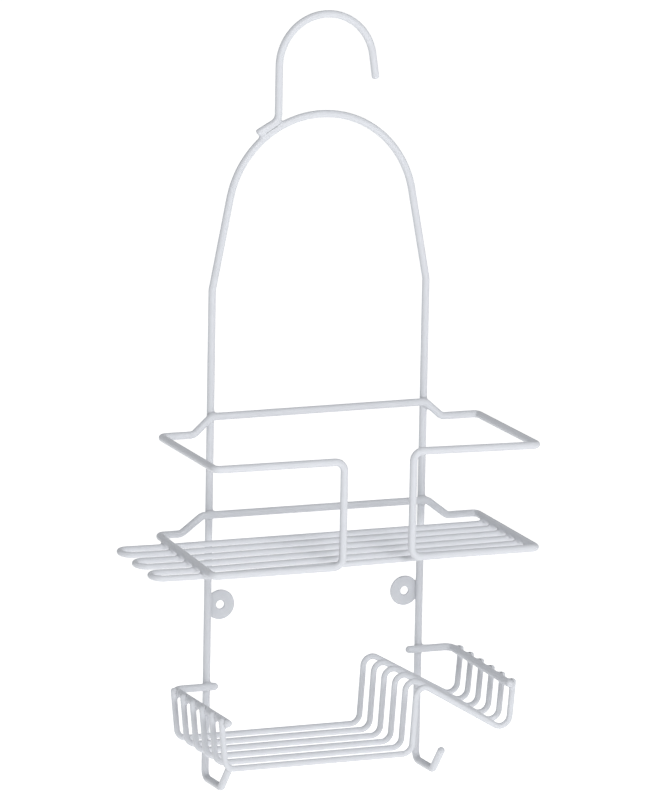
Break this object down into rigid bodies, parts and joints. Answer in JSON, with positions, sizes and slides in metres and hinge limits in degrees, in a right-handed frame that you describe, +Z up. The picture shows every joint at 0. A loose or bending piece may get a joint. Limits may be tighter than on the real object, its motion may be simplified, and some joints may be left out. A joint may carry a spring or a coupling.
{
  "type": "shower caddy",
  "caption": "Hanging shower caddy of white coated wire: a hook and arch, a railed shelf with finger loops, and a stepped wire tray with hooks below.",
  "frame": {"origin": "hang point: the height of the shower arm's top under the top hook's bow, in the frame wire's plane and the caddy's middle plane", "axes": "+Z up, -Y to the front, +X to the right as seen from the front"},
  "size_m": [0.2902, 0.1167, 0.5543],
  "materials": {
    "steel_wire": "drawn mild steel, under the coating",
    "white_coating": "satin gloss, dipped, rounded over ends and welds"
  },
  "bodies": {
    "root": {"frame_wire_steel": "steel_wire", "frame_wire_coating": "white_coating", "top_hook_steel": "steel_wire", "top_hook_coating": "white_coating", "shelf_loop_steel": "steel_wire", "shelf_loop_coating": "white_coating", "shelf_hairpin_rear_steel": "steel_wire", "shelf_hairpin_rear_coating": "white_coating", "shelf_hairpin_middle_steel": "steel_wire", "shelf_hairpin_middle_coating": "white_coating", "shelf_hairpin_front_steel": "steel_wire", "shelf_hairpin_front_coating": "white_coating", "tray_rail_left_steel": "steel_wire", "tray_rail_left_coating": "white_coating", "tray_rail_right_steel": "steel_wire", "tray_rail_right_coating": "white_coating", "tray_wire_1_steel": "steel_wire", "tray_wire_1_coating": "white_coating", "tray_wire_2_steel": "steel_wire", "tray_wire_2_coating": "white_coating", "tray_wire_3_steel": "steel_wire", "tray_wire_3_coating": "white_coating", "tray_wire_4_steel": "steel_wire", "tray_wire_4_coating": "white_coating", "tray_wire_5_steel": "steel_wire", "tray_wire_5_coating": "white_coating", "tray_wire_6_steel": "steel_wire", "tray_wire_6_coating": "white_coating", "washer_left_steel": "steel_wire", "washer_left_coating": "white_coating", "washer_right_steel": "steel_wire", "washer_right_coating": "white_coating"}
  },
  "joints": []
}
